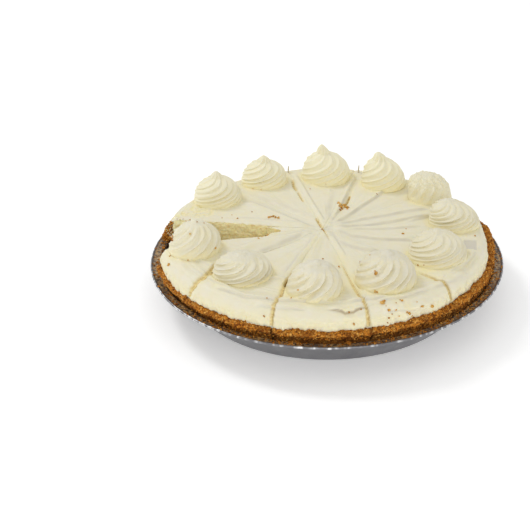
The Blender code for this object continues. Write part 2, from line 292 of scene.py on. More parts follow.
def makePressedFoil():
    # Aluminium foil, pressed into a tin: dull grey with fine creases, with a painted highlight in broken
    # specks along the rolled edge, and browned by crumb from the baking, whose darkest patches are partly
    # painted shade.
    material, shader, place = startMaterial("pressedAluminiumFoil", {
        "Metallic": 1.0, "Roughness": foilFinish["roughness"],
    })
    smudge = addNode(material, "ShaderNodeTexNoise", {
        "Vector": place, "Scale": 1 / foilFinish["smudge"], "Detail": 4.0,
    })
    grey = mixColours(material, smudge.outputs["Fac"], foilFinish["metal"], foilFinish["dull"])
    # painted highlight: near-white colour in broken specks along the rolled edge
    lit = mixColours(material, "rolled", grey, foilFinish["paintedHighlight"])
    speck = addNode(material, "ShaderNodeTexNoise", {
        "Vector": place, "Scale": 1 / foilFinish["dustAndShade"], "Detail": 4.0,
    })
    dusty = addNode(material, "ShaderNodeMapRange", {
        "Value": speck.outputs["Fac"], "From Min": 0.34, "From Max": 0.5,
    })
    # dark patches on the flange: partly crumb charred on in the baking, partly painted shade
    charAndShade = addNode(material, "ShaderNodeTexNoise", {
        "Vector": place, "Scale": 1 / foilFinish["charAndShade"], "Detail": 5.0,
    })
    sootAndShadeShare = addNode(material, "ShaderNodeMapRange", {
        "Value": charAndShade.outputs["Fac"], "From Min": 0.46, "From Max": 0.6,
    })
    dustAndShade = mixColours(material, sootAndShadeShare.outputs["Result"], foilFinish["stainAndPaintedLight"], foilFinish["sootAndShade"])
    stained = addNode(material, "ShaderNodeAttribute", attribute_name="stained").outputs["Fac"]
    # where the flange's brown and its partly painted shade lie
    stainAndPaintedLight = addNode(material, "ShaderNodeMath", {
        0: dusty.outputs["Result"], 1: stained,
    }, operation="MULTIPLY")
    colour = mixColours(material, stainAndPaintedLight.outputs["Value"], lit, dustAndShade)
    metallic = addNode(material, "ShaderNodeMapRange", {
        "Value": stainAndPaintedLight.outputs["Value"], "To Min": 1.0, "To Max": 0.2,
    })
    feed(shader, "Metallic", metallic.outputs["Result"])
    dulling = addNode(material, "ShaderNodeMapRange", {
        "Value": smudge.outputs["Fac"],
        "To Min": foilFinish["roughness"] - 0.08, "To Max": foilFinish["roughness"] + 0.1,
    })
    feed(shader, "Roughness", dulling.outputs["Result"])
    crinkle = addNode(material, "ShaderNodeTexNoise", {
        "Vector": place, "Scale": 1 / foilFinish["crinkle"], "Detail": 3.0, "Roughness": 0.6,
    })
    return finishMaterial(material, shader, colour, crinkle, 0.5, 0.25 * mm)


whippedCream = makeWhippedCream()
pipedCream = makePipedCream()
limeCustard = makeLimeCustard()
biscuitCrust = makeBiscuitCrust("bakedBiscuitCrust", crustFinish)
biscuitCrumbs = makeBiscuitCrust("brokenBiscuitCrumbs", crumbFinish)
pressedFoil = makePressedFoil()
print("materials: cream, piped cream, custard, crust, crumbs and foil made")


def nodeName(number, layer):
    return f"tip_{layer}" if number == tipNumber else f"slice_{number:02d}_{layer}"


def pieceName(number, layer):
    return f"{layer}Tip" if number == tipNumber else f"{layer}Slice{number:02d}"


def makeObject(name, bm):
    mesh = bpy.data.meshes.new(name)
    bm.to_mesh(mesh)
    bm.free()
    made = bpy.data.objects.new(name, mesh)
    bpy.context.scene.collection.objects.link(made)
    return made


def addPiece(name, bm, material, replaced=None, sharp=None):
    piece = makeObject(name, bm)
    piece.data.materials.append(material)
    piece.data.shade_smooth()
    if sharp:
        piece.data.set_sharp_from_angle(angle=math.radians(sharp))
    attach(piece, "root")
    if replaced:
        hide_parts(replaced)
    return piece


def remeshNode(node, voxel, smoothing):
    # a fine even mesh over a CAD node's form, its edges eased by a few rounds of smoothing
    bm = bmesh.new()
    bm.from_mesh(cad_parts[node].data)
    bmesh.ops.remove_doubles(bm, verts=bm.verts, dist=0.01 * mm)
    draft = makeObject("draft", bm)
    coarse = draft.data
    remesh = draft.modifiers.new("even", "REMESH")
    remesh.mode = "VOXEL"
    remesh.voxel_size = voxel
    smooth = draft.modifiers.new("ease", "SMOOTH")
    smooth.iterations = smoothing
    graph = bpy.context.evaluated_depsgraph_get()
    fine = bpy.data.meshes.new_from_object(draft.evaluated_get(graph))
    bpy.data.objects.remove(draft)
    bm = bmesh.new()
    bm.from_mesh(fine)
    bpy.data.meshes.remove(fine)
    bpy.data.meshes.remove(coarse)
    return bm


def moveVerts(bm, moves):
    # once all moves are worked out, so that no point sees its neighbour moved
    for vert, move in zip(bm.verts, moves):
        vert.co += move


def thinOut(bm, hidden):
    # flat stretches that nothing shows are joined into large faces
    verts = [vert for vert in bm.verts if hidden(vert)]
    kept = set(verts)
    edges = [edge for edge in bm.edges if edge.verts[0] in kept and edge.verts[1] in kept]
    bmesh.ops.dissolve_limit(
        bm, angle_limit=math.radians(1.5), use_dissolve_boundaries=False, verts=verts, edges=edges,
        delimit=set())
    bmesh.ops.triangulate(bm, faces=[face for face in bm.faces if len(face.verts) > 4])


cutCentre = Vector((-3.0, -1.0)) * mm
fillingTop = 26.6 * mm
creamTop = 46.8 * mm
kerf = 0.8 * mm

# Degrees anticlockwise from +X. top is the width that the CAD leaves at the cream's top. groove lists, for
# places along the cut, half the width and the depth of the groove that the knife left; bend, how far that
# groove strays from the straight cut; ragged, how rough its lips are; trough, how far the cream beside it is
# dragged down, how wide, and between which radii. All in mm, as is the width of a closed cut.
closed = 0.01
plainCut = {
    "top": 0.8, "groove": [(0, 0, 0)], "bend": [(0, 0)], "ragged": 0.0, "trough": (0.0, 1.5, 10, 118),
}
cuts = [
    {"angle": 194.7, "ragged": 0.5, "trough": (0.4, 1.6, 28, 118)},
    {"angle": 221.0, "top": 2.6, "ragged": 1.1, "trough": (0.5, 4.0, 60, 118),
     "groove": [(80, 0, 0), (88, 3.0, 1.4), (96, 3.0, 1.7), (102, 2.2, 1.6), (120, 1.6, 1.3)],
     "bend": [(86, -5.0), (92, -3.0), (98, 1.0), (104, 3.6), (114, 4.0), (126, 1.0)]},
    {"angle": 254.7, "top": 1.8, "ragged": 0.3, "trough": (0.8, 3.0, 14, 100),
     "groove": [(0, 0.4, 0.3), (62, 0.4, 0.4), (72, 0.9, 1.8), (83, 1.3, 2.8), (88, 1.0, 1.2),
                (120, 1.2, 1.3)],
     "bend": [(60, 0), (76, -2.0), (88, -1.4), (100, 0), (122, -0.6)]},
    {"angle": 285.0, "top": 1.5, "ragged": 0.2, "trough": (1.5, 4.5, 40, 98),
     "groove": [(4, 0.6, 0.9), (26, 0.4, 0.4), (52, 0.4, 0.4), (58, 0.5, 0.9), (78, 0.5, 0.9),
                (90, 0.9, 1.0), (120, 1.1, 1.3)],
     "bend": [(40, 0), (78, -2.0), (120, -1.8)]},
    {"angle": 315.0, "top": 1.3, "ragged": 0.25, "trough": (1.2, 4.5, 60, 104),
     "groove": [(84, 0, 0), (94, 0.9, 0.9), (120, 1.1, 1.2)]},
    {"angle": 344.5},
    {"angle": 374.5},
    {"angle": 403.5},
    {"angle": 436.5, "top": 0.9, "ragged": 0.3, "trough": (0.6, 2.0, 8, 118),
     "groove": [(0, 0.6, 1.0), (8, 0.3, 0.3), (40, 0.4, 0.4), (44, 0.8, 1.6), (58, 0.8, 1.6), (62, 0.4, 0.4),
                (120, 0.5, 0.6)],
     "bend": [(10, 0), (43, -7.0), (59, -7.0), (90, -5.0), (104, 0)]},
    {"angle": 465.0, "top": 1.1, "ragged": 0.35, "trough": (0.4, 1.5, 6, 118),
     "groove": [(0, 0.9, 1.3), (16, 0.7, 1.1), (20, 0.4, 0.3), (48, 0.4, 0.4), (51, 0.6, 1.2),
                (64, 0.6, 1.2), (68, 0.3, 0.3), (71, 0.9, 1.6), (84, 0.9, 1.6), (90, 0.4, 0.5),
                (120, 0.5, 0.6)],
     "bend": [(16, 0), (50, 2.6), (64, 2.6), (76, 3.2), (90, 1.6), (108, 0)]},
    {"angle": 497.0},
    {"angle": 533.5, "ragged": 0.6, "trough": (0.3, 1.5, 28, 118)},
]
cuts = [{**plainCut, **cut} for cut in cuts]
for cut in cuts:
    angle = math.radians(cut["angle"])
    cut["along"] = Vector((math.cos(angle), math.sin(angle)))
    cut["across"] = Vector((-math.sin(angle), math.cos(angle)))
    cut["half"] = [(place, half) for place, half, _ in cut["groove"]]
    cut["depth"] = [(place, depth) for place, _, depth in cut["groove"]]
gapCuts = (cuts[0], cuts[-1])
grooveReach = 18 * mm  # further from a cut nothing of its groove or trough is left
tipReach = 33 * mm  # how far from the middle the missing slice's tip still closes both of its cuts
cutSkin = (1.4, 0.3)  # how near a cut, in mm, its face begins and is whole


def besideCuts(number, point):
    # for both cuts of a slice: the cut, the direction into the slice, how far in the point lies, and how far
    # along the cut
    flat = point.xy - cutCentre
    height = max(0.0, (point.z - fillingTop) / (creamTop - fillingTop))
    found = []
    for cut, inward in ((cuts[number - 1], 1), (cuts[number % len(cuts)], -1)):
        gap = 0.5 * (kerf + (cut["top"] * mm - kerf) * height)
        normal = cut["across"] * inward
        found.append((cut, normal.to_3d(), flat.dot(normal) - gap, flat.dot(cut["along"])))
    return found


rosetteShape = {
    "columns": 180, "rings": 90, "foot": 4.0 * mm, "sunk": 0.8 * mm, "depth": 2.3 * mm, "grain": 0.12 * mm,
    "baseShare": 0.07,
}
# The same placing as in the solids: degrees round the pie and ring radius; radius, height and tip in mm;
# dome as a share of the height. lean moves the tip and shift the whole, in mm; box squares the dome's
# profile and squash lowers it. twist turns the ridges, in degrees from foot to tip, lobes counts them, turn
# is where they start, soft eases them, crown is the height share where they end, and folds gives the side in
# degrees where they are deepest, with their share on the other side. rough roughens the top, and whiteness
# is how white the cream is, more on the rosettes at the back than on those at the front.
plainRosette = {
    "lobes": 9, "shift": (0.0, 0.0), "box": 2.5, "squash": 1.0, "soft": 0.1, "rough": 0.2, "crown": 0.95,
    "folds": (-40, 0.6),
}
rosettes = [
    {"angle": 199.8, "ring": 96.2, "radius": 18.0, "height": 21.4, "dome": 0.93, "tip": 16.0,
     "lean": (1.0, 0.0), "turn": 0.0, "twist": 95, "lobes": 11, "whiteness": 0.3, "soft": -0.4,
     "crown": 0.80, "folds": (-60, 0.5)},
    {"angle": 230.8, "ring": 87.4, "radius": 19.7, "height": 14.5, "dome": 0.91, "tip": 16.0,
     "lean": (-1.0, 1.0), "turn": 0.7, "twist": 165, "lobes": 10, "whiteness": 0.15, "soft": -0.9,
     "rough": 0.4, "crown": 0.72, "folds": (-80, 0.45)},
    {"angle": 265.5, "ring": 90.0, "radius": 18.2, "height": 20.0, "dome": 0.94, "tip": 17.0,
     "lean": (1.0, 0.0), "turn": 1.9, "twist": 85, "lobes": 12, "shift": (-0.8, 1.0), "whiteness": 0.1,
     "soft": -1.5, "rough": 0.5, "crown": 0.70, "folds": (-65, 0.3)},
    {"angle": 297.0, "ring": 86.5, "radius": 20.1, "height": 21.0, "dome": 0.90, "tip": 17.0,
     "lean": (0.5, 1.5), "turn": 0.3, "twist": 100, "lobes": 12, "shift": (-1.2, 0.8), "whiteness": 0.0,
     "soft": -1.6, "rough": 0.5, "crown": 0.72, "folds": (-50, 0.3)},
    {"angle": 330.1, "ring": 88.3, "radius": 19.9, "height": 19.5, "dome": 0.90, "tip": 15.0,
     "lean": (-1.5, 2.0), "turn": 2.6, "twist": 190, "lobes": 11, "shift": (-1.5, 0.0), "whiteness": 0.2,
     "soft": -0.6, "rough": 0.3, "crown": 0.85, "folds": (-50, 0.5)},
    {"angle": 364.6, "ring": 94.6, "radius": 18.2, "height": 18.4, "dome": 0.92, "tip": 14.0,
     "lean": (-6.5, 0.5), "turn": 0.27, "twist": 200, "lobes": 11, "shift": (-2.0, 0.0), "whiteness": 0.3,
     "soft": -0.2, "rough": 0.4, "crown": 0.85, "folds": (-60, 0.5)},
    {"angle": 392.6, "ring": 96.1, "radius": 16.4, "height": 21.6, "dome": 0.98, "tip": 8.0,
     "lean": (-5.0, 0.0), "turn": 0.41, "twist": 45, "lobes": 13, "shift": (-2.0, 0.0), "whiteness": 0.5,
     "box": 5.0, "squash": 0.92, "rough": 1.5, "crown": 0.9, "folds": (-60, 0.4)},
    {"angle": 419.5, "ring": 90.5, "radius": 17.4, "height": 26.9, "dome": 0.83, "tip": 15.0,
     "lean": (-5.2, -1.0), "turn": 0.02, "twist": 205, "shift": (-1.2, 0.0), "whiteness": 0.9, "soft": 0.2},
    {"angle": 450.4, "ring": 91.4, "radius": 19.6, "height": 27.5, "dome": 0.78, "tip": 12.3,
     "lean": (-3.6, 0.0), "turn": 0.49, "twist": 205, "whiteness": 0.9},
    {"angle": 481.1, "ring": 96.5, "radius": 18.2, "height": 22.0, "dome": 0.81, "tip": 13.4,
     "lean": (-0.1, -0.6), "turn": 0.31, "twist": 215, "whiteness": 0.8},
    {"angle": 510.4, "ring": 95.6, "radius": 18.2, "height": 23.1, "dome": 0.84, "tip": 13.4,
     "lean": (-0.6, 0.0), "turn": 0.13, "twist": 240, "whiteness": 0.7, "rough": 0.1},
]
rosettes = [{**plainRosette, **form} for form in rosettes]
for form in rosettes:
    angle = math.radians(form["angle"])
    form["middle"] = Vector((math.cos(angle), math.sin(angle))) * form["ring"] * mm
    form["middle"] += Vector(form["shift"]) * mm


# Marks that the palette knife left: their line, as (x, y) in mm, how high the edge stands, how far it falls
# off on the left of its line and on the right, and, for a torn edge, how dark the painted shadow under it
# is.
knifeMarks = [
    ([(4, 8), (16, 24), (36, 50), (52, 78)], 1.1, 4.0, 1.3),
    ([(8, 8), (23, 21), (49, 41), (70, 54)], -1.0, 6.0, 2.0),
    ([(6, 4), (25, 15), (48, 22), (76, 32)], 1.0, 7.0, 1.6),
    ([(4, 0), (23, 3), (43, 9), (76, 16)], 1.1, 6.0, 1.0),
    ([(14, -1), (40, -1), (68, 1)], 0.8, 4.0, 1.2),
    ([(4, -4), (18, -13), (38, -18), (62, -22)], 1.1, 7.0, 1.2),
    ([(3, -3), (9, -20), (23, -32), (45, -42)], 1.2, 8.0, 1.8),
    ([(-13, 2), (-34, 21), (-62, 43)], 1.0, 8.0, 2.5),
    ([(-8, 3), (-38, 10), (-66, 14)], 0.6, 5.0, 2.0),
    ([(-20, 24), (-38, 40), (-56, 52)], -0.8, 6.0, 2.5),
    ([(-8, -3), (-26, -6), (-46, -10)], 0.6, 3.0, 1.2),
    ([(-10, -5), (-36, -16), (-60, -30)], 1.0, 6.0, 1.6),
    ([(-14, -9), (-34, -27), (-48, -40)], -0.9, 5.0, 2.0),
    ([(-6, -8), (-17, -40), (-26, -70)], 0.9, 6.0, 1.8),
    ([(-4, -12), (-9, -30), (-12, -46)], 0.6, 2.0, 0.9),
    ([(0, 8), (-2, 30), (2, 60)], 0.5, 6.0, 3.0),
    ([(-72, -86), (-52, -98), (-30, -104), (4, -106)], 1.4, 4.0, 0.6),
    ([(-46, -106), (-28, -110), (-12, -112)], 1.3, 3.0, 0.6),
    ([(-1, -112), (7, -112.9), (11, -113.8), (16, -112.8), (26, -108)], 1.2, 3.2, 0.5, 0.6),
    ([(10, -106), (28, -102), (40, -99)], 1.2, 3.0, 0.6),
    ([(34, -110), (52, -104), (70, -94)], 1.3, 3.5, 0.6),
    ([(30, -104), (48, -98), (66, -87)], 0.9, 3.0, 0.7),
    ([(-88, -62), (-72, -80), (-60, -92)], 0.9, 3.5, 0.7),
    ([(78, -70), (92, -54), (102, -36)], 1.0, 4.0, 0.8),
    ([(66, -86), (80, -76), (94, -62)], 0.8, 3.0, 1.2),
    ([(2, 8), (13, 50), (23, 95)], 1.0, 3.0, 1.0),
    ([(-2, 10), (-14, 53), (-26, 96)], 0.9, 3.0, 0.8),
    ([(13, -44), (3, -10)], 0.9, 3.0, 0.8),
    ([(18, -60), (26, -96)], 0.7, 3.5, 1.5),
    ([(-60, -62), (-40, -74), (-24, -76)], 0.7, 3.0, 1.2),
    ([(56, 8), (70, 14), (84, 24)], 0.8, 4.0, 1.2),
    ([(-96, -40), (-84, -52), (-74, -58)], 0.6, 3.0, 1.2),
]


def readMark(run, rise, broad, sharp, shadow=0.0):
    reach = 3 * max(broad, sharp)
    low = [min(point[axis] for point in run) - reach for axis in (0, 1)]
    high = [max(point[axis] for point in run) + reach for axis in (0, 1)]
    return {
        "run": run, "rise": rise, "broad": broad, "sharp": sharp, "shadow": shadow, "low": low, "high": high,
    }


knifeMarks = [readMark(*mark) for mark in knifeMarks]
dent = {"middle": (99.5, -27.0), "size": (4.4, 7.2), "turn": -8.0, "depth": 0.8}
# patches of torn cream: middle, size across and roughness in mm
tornPatches = [
    ((-94, 28), 30, 0.8), ((-109, 21), 16, 0.9), ((-72, -52), 14, 0.5), ((66, -44), 10, 0.4),
    ((14, -112), 14, 0.45), ((46, -102), 16, 0.4),
]
# pairs are the radii or heights in mm between which a part of the form sets in
creamShape = {
    "voxel": 0.6 * mm, "quickVoxel": 1.5 * mm, "smoothing": 3, "markRise": 1.6,
    "swell": 0.8 * mm, "swellSize": 24.0 * mm, "stroke": 0.35 * mm, "edgeWave": 1.0 * mm,
    "edgeDrop": 2.0 * mm, "grain": 0.07 * mm, "tear": 1.1 * mm, "skirt": 6 * mm,
    "shoulder": (84, 100), "spokes": (6, 30), "hiddenBelow": 36 * mm, "hiddenWithin": 107 * mm,
    "topHeight": (34, 40), "cutHeight": (35, 36.5), "edgeRadius": (108, 113), "edgeHeight": (43, 38),
    "footRadius": (112, 114.5), "footHeight": (37.0, 34.8), "broken": (30, 34), "underside": 28 * mm,
}


def markHeight(mark, x, y):
    # height of a knife mark at a place, and how much painted grey shade along its sharp edge lies there
    (left, front), (right, back) = mark["low"], mark["high"]
    if x < left or x > right or y < front or y > back:
        return 0.0, 0.0
    best = None
    run = mark["run"]
    for (x0, y0), (x1, y1) in zip(run, run[1:]):
        lengthSquared = (x1 - x0) ** 2 + (y1 - y0) ** 2
        share = min(1.0, max(0.0, ((x - x0) * (x1 - x0) + (y - y0) * (y1 - y0)) / lengthSquared))
        dx, dy = x - x0 - share * (x1 - x0), y - y0 - share * (y1 - y0)
        away = math.hypot(dx, dy)
        if best is None or away < best[0]:
            best = (away, (x1 - x0) * dy - (y1 - y0) * dx)
    away, side = best
    width = mark["broad"] if side > 0 else mark["sharp"]
    if away > 3 * width:
        return 0.0, 0.0
    ends = 1.0
    for end in (run[0], run[-1]):
        ends *= smoothStep(0.0, 9.0, math.hypot(x - end[0], y - end[1]) + 1.0)
    # the sharp side takes painted grey shade
    creaseShade = math.exp(-(((away - mark["sharp"]) / (0.8 * mark["sharp"])) ** 2)) if side <= 0 else 0.0
    height = mark["rise"] * math.exp(-((away / width) ** 2)) * ends
    return height, creaseShade * ends * min(1.0, abs(mark["rise"]))


def dentShare(x, y):
    # how far inside the dent's rounded square a place lies
    turn = math.radians(dent["turn"])
    dx, dy = x - dent["middle"][0], y - dent["middle"][1]
    across = (dx * math.cos(turn) + dy * math.sin(turn)) / dent["size"][0]
    along = (dy * math.cos(turn) - dx * math.sin(turn)) / dent["size"][1]
    return smoothStep(1.12, 0.88, max(abs(across), abs(along)))


def creamRelief(point):
    # height to add to the cream's top, and how much painted grey shade, painted yellow glow and painted dark
    # shadow it takes
    x, y = point.x / mm, point.y / mm
    flat = Vector((point.x, point.y, 0.0))
    radius = flat.length
    angle = math.atan2(point.y, point.x)
    relief = creamShape["swell"] * bumpy(flat, creamShape["swellSize"], 3.1)
    rings = Vector((math.cos(angle) * 5, math.sin(angle) * 5, radius / (1.6 * mm)))
    shoulder = fade(*creamShape["shoulder"], radius)
    relief += creamShape["stroke"] * shoulder * noise.noise(rings)
    spokes = Vector((math.cos(angle) * 16, math.sin(angle) * 16, radius / (60 * mm)))
    outside = fade(*creamShape["spokes"], radius)
    relief += creamShape["stroke"] * (1 - shoulder) * noise.noise(spokes) * outside
    creaseShade, glowTint, shadow = 0.0, 0.0, 0.0
    for mark in knifeMarks:
        rise, markShade = markHeight(mark, x, y)
        relief += creamShape["markRise"] * rise * mm
        creaseShade = max(creaseShade, markShade)
        # painted shadow under a torn edge
        shadow = max(shadow, mark["shadow"] * markShade)
    creaseShade *= 0.6 + 0.5 * bumpy(flat, 8.0 * mm, 7.0)
    for middle, size, rough in tornPatches:
        torn = smoothStep(size / 2, size / 4, math.hypot(x - middle[0], y - middle[1]))
        if torn > 0:
            lump = bumpy(flat, 3.0 * mm, 2.0) + 0.7 * bumpy(flat, 1.4 * mm, 6.0)
            relief += rough * torn * lump * mm
            # the low spots of a torn patch take painted yellow glow
            glowTint = max(glowTint, rough * torn * min(1.0, max(0.0, 0.6 - lump)))
    for form in rosettes:
        reach = (point.xy - form["middle"]).length - form["radius"] * mm
        if reach < creamShape["skirt"]:
            # painted glow round each rosette's foot, a yellow tint that also lifts the shade there
            stainAndPaintedLight = 0.45 + 0.3 * bumpy(flat, 12.0 * mm, 1.0)
            glowTint = max(glowTint, stainAndPaintedLight * smoothStep(creamShape["skirt"], 0.0, reach))
    # the dent takes painted grey shade
    dented = dentShare(x, y)
    return relief - dent["depth"] * mm * dented, max(creaseShade, dented), glowTint, shadow


def topHeightAt(tree, point):
    # height of the CAD's cream top under a point
    at, _, _, _ = tree.ray_cast(Vector((point.x, point.y, 60 * mm)), Vector((0, 0, -1)))
    return at.z if at is not None else None


def outwardAt(point):
    return Vector((point.x, point.y, 0.0)).normalized()


def surfaceOf(meshes):
    bm = bmesh.new()
    for mesh in meshes:
        bm.from_mesh(mesh)
    tree = BVHTree.FromBMesh(bm)
    bm.free()
    return tree


def closeCuts(number, point):
    # how far to shift a point so that the slice reaches past its cuts, to be trimmed there, or up to them at
    # the gap
    height = max(0.0, (point.z - fillingTop) / (creamTop - fillingTop))
    inwards, shifts = [], []
    for cut, inward, inside, along in besideCuts(number, point):
        half = 0.5 * (kerf + (cut["top"] * mm - kerf) * height)
        near = fade(5, 0.0, inside)
        if cut in gapCuts:
            reach = smoothStep(tipReach + 3 * mm, tipReach - 3 * mm, along)
            shifts.append((closed * mm - half) * near * reach)
        else:
            shifts.append((-1.0 * mm - half) * near)
        inwards.append(inward)
    # near the middle both cuts pull at once, so their shifts are solved together
    first, second = inwards
    cross = first.dot(second)
    joint = fade(26, 12, (point.xy - cutCentre).length)
    solved = [(shifts[here] - cross * shifts[1 - here]) / (1 - cross**2) for here in (0, 1)]
    weights = [each * joint + plain * (1 - joint) for each, plain in zip(solved, shifts)]
    return first * weights[0] + second * weights[1]


def cutGroove(number, point, top):
    # depth of the grooves at a point, how far it is dragged down, how much painted yellow glow its trough
    # takes, how far it is cut open and how much painted shade falls on its far side
    deepest, drop, paintedGlow, face, shade = 0.0, 0.0, 0.0, 0.0, 0.0
    flat = point.xy - cutCentre
    for cut in (cuts[number - 1], cuts[number % len(cuts)]):
        place = flat.dot(cut["along"])
        side = flat.dot(cut["across"])
        if abs(side) > grooveReach:
            continue
        side -= readCurve(cut["bend"], place / mm) * mm
        away = abs(side)
        half, depth = readCurve(cut["half"], place / mm) * mm, readCurve(cut["depth"], place / mm) * mm
        if half > 0:
            tear = bumpy(point, 3.2 * mm, 4.0) + 0.7 * bumpy(point, 1.3 * mm, 2.0)
            half += cut["ragged"] * tear * 0.7 * mm * min(1.0, half / (0.8 * mm))
            share = smoothStep(half + 0.5 * mm, half - 0.5 * mm, away)
            deepest = max(deepest, depth * share)
            face = max(face, share * fade(0.4, 1.0, depth))
            farSide = smoothStep(0.0, 0.9, side / half)
            # painted shade on the groove's far side
            shade = max(shade, 0.65 * share * farSide * fade(0.6, 1.2, depth))
        deep, wide, first, last = cut["trough"]
        reach = smoothStep(first - 8, first + 6, place / mm) * smoothStep(last + 8, last - 4, place / mm)
        drag = math.exp(-((away / (wide * mm)) ** 2)) * reach * top
        uneven = 0.8 + 0.5 * noise.noise(Vector((place / (9 * mm), cut["angle"], 0.0)))
        drop += deep * mm * drag * uneven
        # painted yellow glow in the dragged-down trough
        paintedGlow = max(paintedGlow, 0.5 * drag * min(1.0, deep))
    return deepest, drop, paintedGlow, face, shade


def trimCuts(bm, number):
    # the knife's planes cut off what reaches past them
    for cut, sign in ((cuts[number - 1], 1), (cuts[number % len(cuts)], -1)):
        if cut in gapCuts:
            continue
        inward = cut["across"] * sign
        at = cutCentre + inward * closed * mm
        trimmed = bmesh.ops.bisect_plane(
            bm, geom=[*bm.verts, *bm.edges, *bm.faces], dist=0.001 * mm,
            plane_co=(at.x, at.y, 0.0), plane_no=(-inward.x, -inward.y, 0.0), clear_outer=True)
        rim = [part for part in trimmed["geom_cut"] if isinstance(part, bmesh.types.BMEdge)]
        bmesh.ops.holes_fill(bm, edges=rim, sides=0)


def raiseTipEdge(bm, number, cadForm):
    # the remesh rounds off the edge where the missing slice's tip meets its neighbours, so it goes back up
    for vert in bm.verts:
        point = vert.co
        if point.z > creamTop - 3 * mm and vert.normal.z > 0.1:
            inside, along = min([found[2:] for found in besideCuts(number, point) if found[0] in gapCuts])
            beside = inside < 1.3 * mm and along < tipReach + 4 * mm
            top = topHeightAt(cadForm, point) if beside else None
            if top is not None:
                point.z = max(point.z, point.z + (top - point.z) * smoothStep(0.1, 0.4, vert.normal.z))


def tearGapFaces(number, point, normal):
    # how far the faces that look into the gap are torn in, and how torn they look
    move, torn = Vector(), 0.0
    for cut, inward, inside, along in besideCuts(number, point):
        if cut in gapCuts:
            onFace = fade(*cutSkin, inside) * smoothStep(tipReach, tipReach + 4 * mm, along)
            pits = abs(bumpy(point, 3.4 * mm, 4.0)) * 2.2 + 0.6 * bumpy(point, 1.6 * mm, 2.0)
            pits += 0.6 * bumpy(point, 7.0 * mm, 5.0)
            move += inward * cut["ragged"] * mm * pits * onFace
            torn = max(torn, fade(0.9, 0.25, inside) * smoothStep(0.75, 0.35, normal.z))
    return move, torn


def makeCreamSlice(number):
    facesGap = number in (1, 11, tipNumber)
    voxel = creamShape["voxel"]
    bm = remeshNode(nodeName(number, "cream"), voxel, creamShape["smoothing"])
    layerNames = ("paintedGlow", "cutFace", "tornFace", "creaseShade", "deep")
    layers = [bm.verts.layers.float.new(name) for name in layerNames]
    bm.normal_update()
    if facesGap:
        raiseTipEdge(bm, number, surfaceOf([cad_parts[nodeName(number, "cream")].data]))
    for vert in bm.verts:
        vert.co += closeCuts(number, vert.co)
    bm.normal_update()
    moves = []
    for vert in bm.verts:
        point = vert.co.copy()
        normal = vert.normal
        radius = point.xy.length
        covered = normal.z < -0.7 or (radius < creamShape["hiddenWithin"] and not facesGap)
        if point.z < creamShape["hiddenBelow"] and covered:
            moves.append(Vector())
            continue
        top = smoothStep(0.15, 0.6, normal.z) * fade(*creamShape["topHeight"], point.z)
        groove, drop, paintedGlow, face, shade = cutGroove(number, point, top)
        outward = outwardAt(point)
        shown = smoothStep(0.2, 0.6, max(normal.z, normal.dot(outward)))
        shown *= fade(*creamShape["cutHeight"], point.z)
        relief, creaseShade, glowTint, shadow = creamRelief(point) if top > 0 else (0.0, 0.0, 0.0, 0.0)
        move = normal * (relief * top - groove * shown + creamShape["grain"] * bumpy(point, 1.5 * mm, 5.0))
        move.z -= drop
        outer = fade(*creamShape["edgeRadius"], radius) * fade(*creamShape["edgeHeight"], point.z)
        if outer > 0:
            ragged = bumpy(point, 5.0 * mm, 9.0) + 0.8 * bumpy(point, 1.9 * mm, 1.7)
            move += outward * (creamShape["edgeWave"] * ragged - 0.2 * mm) * outer
        # down onto the crust, so that no dark line is left between them
        foot = fade(*creamShape["footHeight"], point.z) * fade(*creamShape["footRadius"], radius)
        move.z -= creamShape["edgeDrop"] * foot
        torn = 0.0
        if facesGap:
            tornMove, torn = tearGapFaces(number, point, normal)
            move += tornMove
        if number == tipNumber:
            broken = fade(*creamShape["broken"], radius) * smoothStep(0.9, 0.6, normal.z)
            tear = bumpy(point, 3.5 * mm, 3.0) + 0.8 * bumpy(point, 1.5 * mm, 6.0)
            move += outward * (tear * creamShape["tear"] - 0.5 * mm) * broken
            torn = max(torn, broken)
        # painted shadow in deep grooves, on their far sides and under the torn edge
        deep = max(shade, shadow, fade(1.4, 3.0, groove)) * shown
        # painted yellow glow: hollows, troughs, the outer edge and the rosettes' feet
        paintedGlowShare = min(1.0, paintedGlow + 0.35 * outer + glowTint * top)
        for layer, share in zip(layers, (paintedGlowShare, face * shown, torn, creaseShade * top * (1 - face), deep)):
            vert[layer] = share
        moves.append(move)
    moveVerts(bm, moves)
    trimCuts(bm, number)
    thinOut(bm, lambda vert: vert.normal.z < -0.97 and vert.co.z < creamShape["underside"])
    bmesh.ops.recalc_face_normals(bm, faces=bm.faces)
    return addPiece(pieceName(number, "cream"), bm, whippedCream, nodeName(number, "cream"), 60)


creamPieces = [makeCreamSlice(number) for number in (*sliceNumbers, tipNumber)]
print("cream: spread, marked and cut in eleven slices and a tip")


fillingShape = {
    "voxel": 2.0 * mm, "gapVoxel": 0.9 * mm, "ripple": 0.25 * mm, "rippleSize": 9.0 * mm, "pore": 0.12 * mm,
    "tear": 0.9 * mm, "broken": (39, 42),
}


